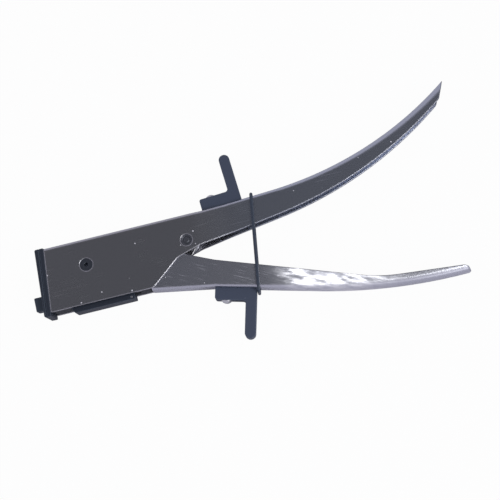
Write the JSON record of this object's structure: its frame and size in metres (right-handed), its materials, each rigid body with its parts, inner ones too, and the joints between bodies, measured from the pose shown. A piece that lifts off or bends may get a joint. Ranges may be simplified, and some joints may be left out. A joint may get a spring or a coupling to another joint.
{
  "type": "staple remover",
  "caption": "Plier-shaped one-hand staple remover with a boxed steel head, a sliding claw in its nose, two long handles, finger guards and a wire lock loop",
  "frame": {"origin": "on the flat outer face of the head's far side plate, 45 mm behind the front of the head, on the head's long middle line", "axes": "+X from the nose to the handles along the head, +Y across the head toward the fixed upper handle, +Z out of the near side plate; the tool lies flat on its far side plate"},
  "size_m": [0.2425, 0.1125, 0.016],
  "materials": {
    "plated_steel": "bright nickel-plated sheet steel",
    "black_moulding": "black moulded plastic, slight sheen",
    "pin_steel": "turned steel",
    "bar_steel": "ground steel",
    "dark_steel": "blackened steel",
    "white_plastic": "natural nylon",
    "spring_steel": "drawn spring wire",
    "black_wire": "black coated wire"
  },
  "bodies": {
    "body": {"body_channel": "plated_steel", "nose_cap": "black_moulding", "front_pin": "pin_steel", "pivot_pin": "pin_steel", "pivot_washers": "pin_steel", "guide_rail": "black_moulding", "upper_guard": "black_moulding", "upper_guard_screw": "pin_steel", "upper_guard_nut": "pin_steel"},
    "lever": {"lower_handle": "plated_steel", "pivot_sleeve": "white_plastic", "drive_pin": "pin_steel", "drive_spacers": "white_plastic", "return_spring": "spring_steel", "lower_guard": "black_moulding", "lower_guard_screw": "pin_steel", "lower_guard_nut": "pin_steel"},
    "claw": {"claw_bar": "bar_steel", "claw_tip": "dark_steel", "tip_rivet": "pin_steel"},
    "hatch": {"slide_block": "black_moulding", "slide_keeper": "plated_steel", "keeper_screws": "pin_steel", "block_pin": "pin_steel"},
    "loop": {"lock_loop": "black_wire"}
  },
  "joints": [
    {"name": "squeeze", "type": "hinge", "parent": "body", "child": "lever", "pos_m": [0.031, 0.0045, 0.008], "axis": [0, 0, 1], "range_deg": [0, 22], "stiffness_Nm_per_rad": 0.8, "springref_deg": -8.02},
    {"name": "claw_slide", "type": "slide", "parent": "body", "child": "claw", "axis": [1, 0, 0], "range_m": [0, 0.005]},
    {"name": "hatch_slide", "type": "slide", "parent": "body", "child": "hatch", "axis": [1, 0, 0], "range_m": [0, 0.007]},
    {"name": "loop_swing", "type": "hinge", "parent": "body", "child": "loop", "pos_m": [0.0702, 0.02121, 0.008], "axis": [0, 0, 1], "range_deg": [0, 15]}
  ],
  "couplings": [
    {"joint": "claw_slide", "follows": "squeeze", "m_per_rad": 0.012976},
    {"joint": "loop_swing", "follows": "squeeze", "ratio": 0.67727}
  ]
}
